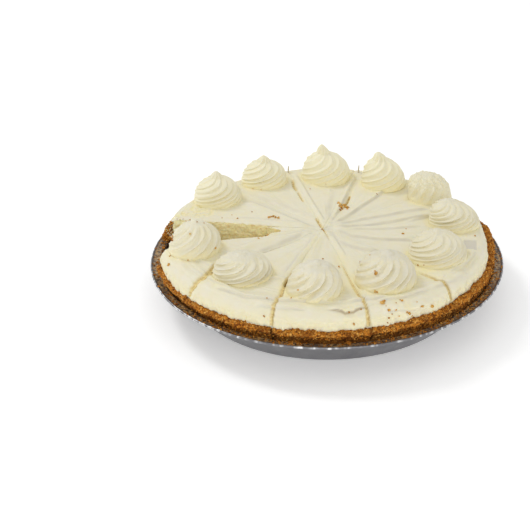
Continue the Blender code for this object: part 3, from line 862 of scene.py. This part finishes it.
def makeFillingSlice(number):
    facesGap = number in (1, 11, tipNumber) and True
    bm = remeshNode(nodeName(number, "filling"), fillingShape["gapVoxel" if facesGap else "voxel"], 2)
    bm.normal_update()
    for vert in bm.verts:
        for _, inward, inside, _ in besideCuts(number, vert.co):
            onFace = fade(1.5, 0.2, inside)
            wobble = fillingShape["ripple"] * bumpy(vert.co, fillingShape["rippleSize"], 6.0)
            wobble += fillingShape["pore"] * bumpy(vert.co, 1.6 * mm, 8.0)
            vert.co += inward * (wobble + 0.05 * mm) * onFace
        if number == tipNumber:
            broken = fade(*fillingShape["broken"], vert.co.xy.length)
            tear = bumpy(vert.co, 3.0 * mm, 3.0) + 0.5 * bumpy(vert.co, 1.2 * mm, 6.0) - 0.5
            vert.co += outwardAt(vert.co) * tear * fillingShape["tear"] * broken
    thinOut(bm, lambda vert: abs(vert.normal.z) > 0.97)
    bmesh.ops.recalc_face_normals(bm, faces=bm.faces)
    return addPiece(pieceName(number, "filling"), bm, limeCustard, nodeName(number, "filling"))


for number in (*sliceNumbers, tipNumber):
    makeFillingSlice(number)
print("filling: eleven slices of custard and a tip")


crustShape = {
    "voxel": 0.6 * mm, "quickVoxel": 1.3 * mm, "crumb": 2.2 * mm, "crumbRise": 0.75 * mm,
    "grit": 1.0 * mm, "gritRise": 0.4 * mm, "lump": 1.5 * mm, "notch": 0.55 * mm, "closing": 0.38 * mm,
    "floor": 0.7 * mm, "undercut": 1.9 * mm, "rimHeight": (24, 27), "rimRadius": (111, 114),
    "notchHeight": (29, 33), "closingHeight": (24, 26), "ledge": (116, 118), "lumpHeight": (31, 33),
    "undercutTop": (31.4, 29.2), "undercutFoot": (24.5, 26.5), "broken": (43, 45), "plainBelow": 23 * mm,
}


def makeCrustSlice(number):
    voxel = crustShape["voxel"]
    bm = remeshNode(nodeName(number, "crust"), voxel, 2)
    crustShadeLayer = bm.verts.layers.float.new("crustShade")
    bm.normal_update()
    moves = []
    for vert in bm.verts:
        point = vert.co
        outward = outwardAt(point)
        radius = point.xy.length
        rim = fade(*crustShape["rimHeight"], point.z) * fade(*crustShape["rimRadius"], radius)
        onCut = 0.0
        move = Vector()
        beside = besideCuts(number, point)
        for cut, inward, inside, _ in beside:
            face = fade(*cutSkin, inside)
            onCut = max(onCut, face)
            notch = fade(2.6, 0.0, inside) * rim * fade(*crustShape["notchHeight"], point.z)
            uneven = 0.6 + 0.7 * bumpy(point, 2.5 * mm, cut["angle"])
            closing = 0.0
            if cut not in gapCuts:
                closing = crustShape["closing"] * face * fade(*crustShape["closingHeight"], point.z)
            move += inward * (crustShape["notch"] * notch * uneven - closing)
        broken = fade(*crustShape["broken"], radius) if number == tipNumber else 0.0
        craggy = max(rim, onCut, broken) * smoothStep(-0.7, -0.2, vert.normal.z)
        if craggy > 0.0:
            relief = crustShape["crumbRise"] * (abs(bumpy(point, crustShape["crumb"], 1.0)) * 2.2 - 0.6)
            relief += crustShape["gritRise"] * bumpy(point, crustShape["grit"], 3.0)
            relief += 0.6 * mm * bumpy(point, 6.0 * mm, 7.0)
            move += vert.normal * relief * craggy
        ledge = fade(*crustShape["ledge"], radius)
        lumps = max(0.0, bumpy(point, 4.0 * mm, 2.0))
        move.z += ledge * fade(*crustShape["lumpHeight"], point.z) * crustShape["lump"] * lumps
        edge = point.z + 1.3 * mm * bumpy(point, 5.0 * mm, 4.0)
        outside = ledge * fade(*crustShape["undercutTop"], edge)
        hollowed = outside * fade(*crustShape["undercutFoot"], point.z)
        move -= outward * crustShape["undercut"] * hollowed
        # painted shade: the recess under the rim's overhang and the cracks at the cuts darken
        crack = fade(1.6, 0.3, min(found[2] for found in beside))
        vert[crustShadeLayer] = min(1.0, 0.6 * outside + 0.3 * crack * rim)
        moves.append(move)
    moveVerts(bm, moves)
    for vert in bm.verts:
        vert.co.z = max(vert.co.z, crustShape["floor"])
    facesGap = number in (1, 11, tipNumber)

    def isPlain(vert):
        # under the filling, and at the gap only well away from the open faces
        away = min(found[2] for found in besideCuts(number, vert.co)) > 1.8 * mm if facesGap else True
        return vert.co.z < crustShape["plainBelow"] and away

    thinOut(bm, isPlain)
    bmesh.ops.recalc_face_normals(bm, faces=bm.faces)
    return addPiece(pieceName(number, "crust"), bm, biscuitCrust, nodeName(number, "crust"))


crustPieces = [makeCrustSlice(number) for number in (*sliceNumbers, tipNumber)]
print("crust: eleven crumbly slices and a tip")


def rosetteRadius(share, form):
    radius, height = form["radius"] * mm, form["height"] * mm
    dome = max(0.0, 1 - (share / form["dome"]) ** form["box"]) ** 0.58 * radius
    tip = form["tip"] * mm * (1 - share) ** 0.6
    foot = 1.01 - 0.02 * min(1.0, share * height / rosetteShape["foot"])
    return max(dome, tip) * foot


def ridgeCrest(form, lobe, share):
    # 1 on the crest of a ridge and 0 in the fold beside it, with finer ridges on them
    sharpness = 0.6 if form["soft"] > -0.5 else 0.85
    broad = (0.5 + 0.5 * math.cos(math.tau * (lobe + 0.08 * math.sin(math.tau * lobe)))) ** sharpness
    fine = (0.5 + 0.5 * math.cos(2 * math.tau * (lobe + 0.3 * share) + form["angle"])) ** 0.8
    return 0.75 * broad + 0.25 * fine


def ridgeDepth(form, aside, angle, share, radius):
    # uneven, deepest on one side, and less towards the foot, the crown and the tip
    side, least = math.radians(form["folds"][0]), form["folds"][1]
    strength = 0.95 + 0.75 * noise.noise(aside * 1.9 + Vector((form["angle"], 0, share * 1.4)))
    strength *= least + (1 - least) * smoothStep(-0.4, 0.8, math.cos(angle - side))
    strength *= 0.15 + 0.85 * smoothStep(0.0, 0.26, share)
    strength *= smoothStep(form["crown"] + 0.15, form["crown"] - 0.1, share)
    return rosetteShape["depth"] * strength * (1 - 0.6 * form["soft"]) * min(1.0, radius / (9 * mm))


def makeRosette(number, form):
    low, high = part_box(nodeName(number, "rosette"))
    height = (high[2] - low[2]) * form["squash"]
    base = rosetteShape["baseShare"]
    bm = bmesh.new()
    bmesh.ops.create_uvsphere(
        bm, u_segments=rosetteShape["columns"], v_segments=rosetteShape["rings"], radius=1.0)
    glowLayer = bm.verts.layers.float.new("paintedGlow")
    whitenessLayer = bm.verts.layers.float.new("whiteness")
    for vert in bm.verts:
        upward = math.acos(max(-1.0, min(1.0, -vert.co.z))) / math.pi
        share = math.sin(0.5 * math.pi * max(0.0, (upward - base) / (1 - base))) ** 1.15
        inBase = min(1.0, upward / base)
        radius = rosetteRadius(share, form)
        aside = outwardAt(vert.co)
        turn = math.atan2(vert.co.y, vert.co.x)
        winding = form["turn"] + math.radians(form["twist"]) * (1 - (1 - share) ** 1.4)
        wander = 0.16 * noise.noise(aside * 1.3 + Vector((0, form["angle"], share * 2.0)))
        angle = turn + winding + wander
        crest = ridgeCrest(form, turn / math.tau * form["lobes"], share)
        depth = ridgeDepth(form, aside, angle, share, radius)
        across = radius * inBase + depth * (crest - 0.85) * inBase
        point = Vector((math.cos(angle), math.sin(angle))) * across + form["middle"]
        point += Vector(form["lean"]) * mm * share ** 1.6
        sunk = rosetteShape["sunk"] * smoothStep(0.08, 0.0, share)
        vert.co = (point.x, point.y, low[2] + height * share - sunk)
        vert[whitenessLayer] = form["whiteness"]
        # painted glow: a yellow tint in the folds and round the foot
        fold = 0.35 * (1 - crest) * min(1.0, depth / mm)
        vert[glowLayer] = min(1.0, fold + 0.6 * smoothStep(0.25, 0.0, share))
    bmesh.ops.recalc_face_normals(bm, faces=bm.faces)
    bm.normal_update()
    moves = []
    for vert in bm.verts:
        share = max(0.0, (vert.co.z - low[2]) / height)
        move = rosetteShape["grain"] * bumpy(vert.co, 1.6 * mm, form["turn"])
        move += 0.35 * mm * bumpy(vert.co, 7.0 * mm, form["turn"] + 4)
        lumps = 0.8 * bumpy(vert.co, 3.0 * mm, 1.0) + 0.45 * bumpy(vert.co, 1.2 * mm, 2.0) - 0.3
        move += form["rough"] * smoothStep(0.25, 0.8, share) * mm * lumps
        moves.append(vert.normal * move * smoothStep(0.0, 0.05, share) * smoothStep(1.0, 0.97, share))
    moveVerts(bm, moves)
    return addPiece(f"rosette{number:02d}", bm, pipedCream, nodeName(number, "rosette"))


rosettePieces = [makeRosette(number, form) for number, form in zip(sliceNumbers, rosettes)]
print("rosettes: eleven piped")


tinShape = {
    "rim": 127.0 * mm, "height": 27.5 * mm, "base": 100.0 * mm, "wallTop": (120.6 * mm, 25.4 * mm),
    "corner": 3.0 * mm, "foil": 0.5 * mm, "bead": 0.8 * mm, "steps": 720, "wallParts": 14, "flangeParts": 7,
    "pleat": 0.22 * mm, "flute": 0.42 * mm,
}


def tinSection():
    # the foil's closed outline as (radius, height), from the middle of the base to the rolled edge and back
    topRadius, topHeight = tinShape["wallTop"]
    slope = math.atan2(topHeight, topRadius - tinShape["base"])
    cornerRadius = tinShape["base"] - tinShape["corner"] * math.tan(slope / 2)

    def arc(middle, bend, turns):
        return [(middle[0] + bend * math.cos(turn), middle[1] + bend * math.sin(turn)) for turn in turns]

    def corner(bend):
        turns = [slope * step / 5 - math.pi / 2 for step in range(6)]
        return arc((cornerRadius, tinShape["corner"]), bend, turns)

    def between(start, end, parts):
        return [tuple(a + (b - a) * step / parts for a, b in zip(start, end)) for step in range(1, parts)]

    foil = tinShape["foil"]
    beadRadius, beadHeight = tinShape["rim"] - tinShape["bead"], tinShape["height"] - tinShape["bead"]
    beadTurns = [math.radians(-140 + 20 * step) for step in range(15)]
    bead = arc((beadRadius, beadHeight), tinShape["bead"], beadTurns)
    flangeEnd = beadRadius - 2 * tinShape["bead"]
    under, over = corner(tinShape["corner"]), list(reversed(corner(tinShape["corner"] - foil)))
    underTop, overTop = (topRadius, topHeight), (topRadius - foil * math.tan(slope / 2), topHeight + foil)
    underEnd, overEnd = (flangeEnd, beadHeight - foil / 2), (flangeEnd, beadHeight + foil / 2)
    parts, flange = tinShape["wallParts"], tinShape["flangeParts"]
    flat = (0.0, 50 * mm, 80 * mm)
    line = [*[(radius, 0.0) for radius in flat], *under, *between(under[-1], underTop, parts), underTop]
    line += [*between(underTop, underEnd, flange), underEnd, *bead, overEnd]
    line += [*between(overEnd, overTop, flange), overTop, *between(overTop, over[0], parts), *over]
    return line + [(radius, foil) for radius in reversed(flat)]


def makeFoilTin():
    bm = bmesh.new()
    corners = [bm.verts.new((radius, 0.0, height)) for radius, height in tinSection()]
    edges = [bm.edges.new(pair) for pair in zip(corners, corners[1:])]
    bmesh.ops.spin(
        bm, geom=corners + edges, axis=(0, 0, 1), cent=(0, 0, 0),
        angle=math.tau, steps=tinShape["steps"], use_merge=True,
    )
    bmesh.ops.remove_doubles(bm, verts=bm.verts, dist=0.01 * mm)
    bmesh.ops.recalc_face_normals(bm, faces=bm.faces)
    topRadius, topHeight = tinShape["wallTop"]
    highlightLayer = bm.verts.layers.float.new("rolled")
    stainedLayer = bm.verts.layers.float.new("stained")
    for vert in bm.verts:
        radius = vert.co.xy.length
        if radius < 60 * mm:
            continue
        turn = Vector((vert.co.x, vert.co.y, 0.0)) / radius
        wall = fade(2, 8, vert.co.z) * smoothStep(topRadius + 1 * mm, topRadius - 1 * mm, radius)
        pleat = noise.noise(turn * 30) + 0.6 * noise.noise(turn * 75 + Vector((0, 0, vert.co.z / (14 * mm))))
        flange = smoothStep(topRadius, topRadius + 2 * mm, radius)
        flute = abs(noise.noise(turn * 62 + Vector((0, 0, 5)))) * 2 - 0.5 + 0.5 * noise.noise(turn * 130)
        edge = smoothStep(tinShape["rim"] - 3 * mm, tinShape["rim"], radius)
        # the painted highlight on the rolled edge is broken into specks
        glint = 0.1 + 1.4 * noise.noise(turn * 34) + 1.2 * noise.noise(turn * 170)
        rolled = smoothStep(tinShape["rim"] - 0.9 * mm, tinShape["rim"] - 0.5 * mm, radius)
        vert[highlightLayer] = rolled * min(1.0, max(0.0, glint))
        upper = vert.co.z > topHeight + 0.4 * tinShape["foil"]
        # the flange's brown band, crumb from the baking with dark patches that are partly painted shade
        stainAndPaintedLight = smoothStep(tinShape["rim"] - 1.2 * mm, tinShape["rim"] - 2.6 * mm, radius)
        vert[stainedLayer] = stainAndPaintedLight * min(1.0, 0.8 + 0.5 * noise.noise(turn * 9)) if upper else 0.0
        inward = tinShape["pleat"] * (pleat - 0.9) * wall
        inward -= 0.25 * mm * edge * (0.5 + 0.5 * noise.noise(turn * 40))
        lift = tinShape["flute"] * (flute - 0.6) * flange * (1 - 0.55 * edge)
        sag = -0.25 * mm * flange * (0.5 + 0.5 * noise.noise(turn * 4))
        vert.co += turn * inward
        vert.co.z += min(0.0, lift) + sag if flange > 0 else 0.0
    return addPiece("foilTin", bm, pressedFoil, "pan")


foilTin = makeFoilTin()
print("tin: pressed, fluted and rolled")


# focal is the focal length in pixels, and middle the pixel of the photo that the lens points at
shot = {
    "distance": 690 * mm, "elevation": 27.8, "height": 27.5 * mm, "focal": 947, "photo": 530, "sensor": 36.0,
    "middle": (327.0, 250.8),
}


def makeCamera():
    camera = bpy.data.cameras.new("photoCamera")
    camera.sensor_width = shot["sensor"]
    camera.lens = shot["focal"] / shot["photo"] * shot["sensor"]
    camera.shift_x = (shot["photo"] / 2 - shot["middle"][0]) / shot["photo"]
    camera.shift_y = (shot["middle"][1] - shot["photo"] / 2) / shot["photo"]
    camera.clip_start = 0.01
    holder = bpy.data.objects.new("photoCamera", camera)
    tilt = math.radians(shot["elevation"])
    away, above = shot["distance"] * math.cos(tilt), shot["distance"] * math.sin(tilt)
    holder.location = (0.0, -away, shot["height"] + above)
    holder.rotation_euler = (math.pi / 2 - tilt, 0.0, 0.0)
    bpy.context.scene.collection.objects.link(holder)
    bpy.context.scene.camera = holder
    bpy.context.view_layer.update()
    return holder


photoCamera = makeCamera()


def photoRay(across, down):
    # the ray from the camera through a pixel of the photo
    u = (across - shot["middle"][0]) / shot["focal"]
    v = (shot["middle"][1] - down) / shot["focal"]
    turned = photoCamera.matrix_world.to_3x3() @ Vector((u, v, -1.0))
    return photoCamera.matrix_world.translation, turned.normalized()


def addCrumb(bm, at, up, size, draw, flat=0.6):
    # one broken crumb, sunk a little into what it lies on
    turn = up.to_track_quat("Z", "Y").to_matrix().to_4x4()
    turn = turn @ Matrix.Rotation(draw.uniform(0, math.tau), 4, "Z")
    stretch = (draw.uniform(0.75, 1.25), draw.uniform(0.6, 1.0), flat * draw.uniform(0.8, 1.2), 1.0)
    place = Matrix.Translation(at + up * size * 0.12) @ turn @ Matrix.Diagonal(stretch)
    made = bmesh.ops.create_icosphere(bm, subdivisions=1, radius=size / 2, matrix=place)
    for vert in made["verts"]:
        vert.co += Vector([draw.uniform(-1, 1) for _ in range(3)]) * size * 0.12


# crumbs that lie on the cream: pixel across and down in the photo, and size in mm
crumbsOnCream = [
    (338.5, 203, 1.9), (340, 204.5, 2.3), (341, 207, 2.0), (343, 205.5, 2.1), (344.5, 206.5, 2.4),
    (346.5, 207.5, 2.1), (347.5, 209, 1.7), (340, 210, 1.4), (342, 209, 1.8), (345, 204.5, 1.2),
    (339, 206, 1.3), (348.5, 207.5, 1.2), (269, 217.5, 2.0), (271, 217, 1.4), (273, 216.6, 2.0),
    (275.5, 217.5, 2.2), (278.5, 218, 1.9), (237.5, 218.5, 1.5), (268, 235, 2.0), (258.5, 238.4, 1.3),
    (169, 265, 2.2), (316, 219, 0.7), (318.5, 222, 0.9), (320, 225, 0.8), (322, 229, 1.0),
    (323.5, 231, 0.9), (167, 274, 0.8), (190, 234, 1.2), (215, 248, 1.4), (222, 218, 0.8), (232, 215, 0.8),
    (252, 212, 0.8), (298, 290, 1.6), (291, 298, 1.4), (267, 298, 1.0), (323, 259, 1.2), (264, 316, 1.3),
    (349, 312, 1.4), (361, 309, 1.2), (382, 303, 2.2), (384, 301, 1.4), (389, 310, 1.8), (396, 310, 1.2),
    (402, 301, 1.6), (400, 300, 0.9), (409, 313, 2.0), (407, 312, 1.2), (417, 302, 1.1), (422, 306, 2.0),
    (432, 306, 1.8), (376, 273, 2.0), (375, 271, 1.2), (339, 267, 1.5), (375, 291, 1.5), (377, 292, 1.1),
    (354, 324, 1.3), (389, 318, 1.0), (403, 234, 1.6), (406, 229, 0.8), (475, 236, 1.2), (377, 194, 1.0),
    (370, 255, 0.9), (418, 265, 1.2), (424, 265, 1.0), (360, 262, 0.8), (396, 303, 0.8), (386, 306, 0.7),
    (399, 316, 0.8), (392, 314, 0.7), (412, 316, 0.8), (177, 219, 0.8), (180, 220, 1.0), (183, 219, 0.7),
    (186, 221, 0.8), (190, 220, 0.9), (197, 222, 0.8), (204, 223, 0.7), (262, 237, 0.8), (266, 236, 1.0),
    (310, 189, 0.9), (326, 184, 0.9), (261, 190, 1.1), (253, 189, 1.0), (188, 260, 0.9), (170, 256, 1.3),
]
# heaps of them: left, top, right and bottom pixel, how many and their mean size in mm
crumbHeaps = [
    (164, 221, 173, 241, 260, 1.0), (214, 326, 258, 338, 160, 1.2), (422, 319, 452, 325, 60, 1.1),
    (286, 339, 300, 345, 30, 1.2), (346, 341, 351, 345, 5, 2.4),
]
crumbShape = {
    "topSize": 1.35, "flangeCrumbs": 2200, "edgeCrumbs": 1100, "recessCrumbs": 1500, "gapCrumbs": 220,
    "seed": 12,
}


def makeCrumbs():
    draw = random.Random(crumbShape["seed"])
    onTop = surfaceOf([piece.data for piece in creamPieces + rosettePieces])
    bm = bmesh.new()
    for across, down, size in crumbsOnCream:
        at, up, _, _ = onTop.ray_cast(*photoRay(across, down))
        if at is not None:
            addCrumb(bm, at, up, size * crumbShape["topSize"] * mm, draw)
    addPiece("crumbsOnCream", bm, biscuitCrumbs)


def dropCrumb(bm, tree, ray, fits, sizes, draw, flat, up=None):
    # ray is its start and direction, fits says whether the place it meets may hold a crumb
    at, facing, _, _ = tree.ray_cast(*ray)
    if at is not None and fits(at):
        addCrumb(bm, at, facing if up is None else up, draw.triangular(*sizes) * mm, draw, flat)


def makeCrumbHeaps():
    draw = random.Random(crumbShape["seed"] + 2)
    whole = surfaceOf([piece.data for piece in [foilTin, *crustPieces, *creamPieces, *rosettePieces]])
    bm = bmesh.new()
    for left, top, right, bottom, count, size in crumbHeaps:
        sizes = (0.5 * size, 1.8 * size, 0.8 * size)
        for _ in range(count):
            ray = photoRay(draw.uniform(left, right), draw.uniform(top, bottom))
            dropCrumb(
                bm, whole, ray, lambda at: at.xy.length < 125 * mm and at.z > 16 * mm, sizes, draw, 0.8)
    addPiece("crumbHeaps", bm, biscuitCrust)


def aroundMiddle(angle, radius, height):
    return Vector((math.cos(angle) * radius, math.sin(angle) * radius, height))


def makeLooseCrumbs():
    # crumbs that broke off the rim and lie along it, on the flange and in the gap
    draw = random.Random(crumbShape["seed"] + 1)
    below = surfaceOf([piece.data for piece in [foilTin, *crustPieces, *creamPieces]])
    bm = bmesh.new()
    up, down = Vector((0, 0, 1)), Vector((0, 0, -1))
    for _ in range(crumbShape["flangeCrumbs"]):
        angle = draw.uniform(0, math.tau)
        crowd = 0.5 + 0.5 * noise.noise(Vector((math.cos(angle) * 4, math.sin(angle) * 4, 3.0)))
        if draw.random() > crowd * 1.3:
            continue
        radius = tinShape["wallTop"][0] + draw.triangular(-3.5, 4.6, -0.5) * mm
        ray = (aroundMiddle(angle, radius, 29.5 * mm), down)
        dropCrumb(bm, below, ray, lambda at: 22 * mm < at.z < 28 * mm, (0.4, 2.3, 0.6), draw, 0.75, up)
    for _ in range(crumbShape["edgeCrumbs"]):
        angle = draw.uniform(0, math.tau)
        ray = (aroundMiddle(angle, draw.triangular(116.4, 120.8, 118.4) * mm, 60 * mm), down)
        dropCrumb(bm, below, ray, lambda at: 31 * mm < at.z < 36 * mm, (0.4, 2.0, 0.7), draw, 0.75)
    for _ in range(crumbShape["recessCrumbs"]):
        angle = draw.uniform(0, math.tau)
        start = aroundMiddle(angle, 126 * mm, draw.triangular(26.6, 31.0, 27.5) * mm)
        ray = (start, aroundMiddle(angle, -1.0, 0.0))
        dropCrumb(bm, below, ray, lambda at: at.xy.length > 112 * mm, (0.5, 2.2, 0.8), draw, 0.9)
    for _ in range(crumbShape["gapCrumbs"]):
        angle = math.radians(draw.uniform(175, 193))
        ray = (aroundMiddle(angle, draw.uniform(30, 112) * mm, 44 * mm), down)
        dropCrumb(bm, below, ray, lambda at: at.z < 20 * mm, (0.5, 2.2, 0.8), draw, 0.8)
    for vert in bm.verts:
        vert.co.z = max(vert.co.z, crustShape["floor"])
    addPiece("crumbsFromRim", bm, biscuitCrust)


makeCrumbs()
makeCrumbHeaps()
makeLooseCrumbs()
print("crumbs: scattered on the cream, the flange and in the gap")


# flakes of cream that the knife pulled up at the back: pixel of the foot in the photo, and width, height and
# thickness in mm
flakeShape = [(288.3, 172.5, 1.1, 6.2, 0.5), (358.4, 172.4, 1.1, 6.8, 0.5), (317.0, 168.5, 0.8, 2.2, 0.5)]


def makeFlakes():
    onTop = surfaceOf([piece.data for piece in creamPieces])
    bm = bmesh.new()
    flakeShadeLayer, flakeDarkLayer = bm.verts.layers.float.new("creaseShade"), bm.verts.layers.float.new("deep")
    for across, down, wide, high, thick in flakeShape:
        at, _, _, _ = onTop.ray_cast(*photoRay(across, down))
        if at is None:
            continue
        place = Matrix.Translation(at + Vector((0, 0, 0.3 * high * mm)))
        place = place @ Matrix.Diagonal((wide * mm, 3.2 * thick * mm, 1.4 * high * mm, 1.0))
        made = bmesh.ops.create_uvsphere(bm, u_segments=14, v_segments=16, radius=0.5, matrix=place)
        for vert in made["verts"]:
            lift = max(0.0, (vert.co.z - at.z) / (high * mm))
            vert.co.x += 0.5 * mm * lift ** 2 + 0.15 * mm * bumpy(vert.co, 1.5 * mm, 3.0)
            # painted shade: the flakes stand edge-on in shade, so they take the grey and some of the dark
            # brown
            vert[flakeShadeLayer], vert[flakeDarkLayer] = 1.0, 0.3
    addPiece("creamFlakes", bm, whippedCream)


makeFlakes()
print("flakes: pulled up along the back")


studio = {
    "floor": "FDFDFC", "floorSize": 12.0, "floorGlow": 0.22, "world": "FFFFFF", "worldStrength": 0.68,
    "keyPlace": (-1.0, 0.7, 1.4), "keySize": 0.5, "keyPower": 7.7,
    "fillPlace": (0.1, -1.3, 0.6), "fillSize": 1.0, "fillPower": 3.6,
}


def makeFloor():
    # matt white acrylic, faintly lit from within as a light table is
    floorPaint, shader, place = startMaterial("paleStudioFloor", {
        "Roughness": 0.7, "Specular IOR Level": 0.2,
        "Emission Color": (1.0, 1.0, 1.0, 1.0), "Emission Strength": studio["floorGlow"],
    })
    speck = addNode(floorPaint, "ShaderNodeTexNoise", {"Vector": place, "Scale": 3.0, "Detail": 2.0})
    feed(shader, "Base Color", mixColours(floorPaint, speck.outputs["Fac"], studio["floor"], "FFFFFF"))
    bm = bmesh.new()
    bmesh.ops.create_grid(bm, x_segments=1, y_segments=1, size=studio["floorSize"] / 2)
    floor = makeObject("studioFloor", bm)
    floor.data.materials.append(floorPaint)


def makeLight(name, place, size, power):
    light = bpy.data.lights.new(name, "AREA")
    light.shape = "DISK"
    light.size = size
    light.energy = power
    lamp = bpy.data.objects.new(name, light)
    lamp.location = place
    lamp.rotation_euler = (-Vector(place)).to_track_quat("-Z", "Y").to_euler()
    bpy.context.scene.collection.objects.link(lamp)


def makeStudio():
    makeFloor()
    world = bpy.data.worlds.new("softStudio")
    world.use_nodes = True
    background = world.node_tree.nodes["Background"]
    background.inputs["Color"].default_value = toLinear(studio["world"])
    background.inputs["Strength"].default_value = studio["worldStrength"]
    bpy.context.scene.world = world
    makeLight("keyLight", studio["keyPlace"], studio["keySize"], studio["keyPower"])
    makeLight("fillLight", studio["fillPlace"], studio["fillSize"], studio["fillPower"])
    bpy.context.scene.view_settings.view_transform = "Standard"


makeStudio()
print("studio: floor, lights and camera set")
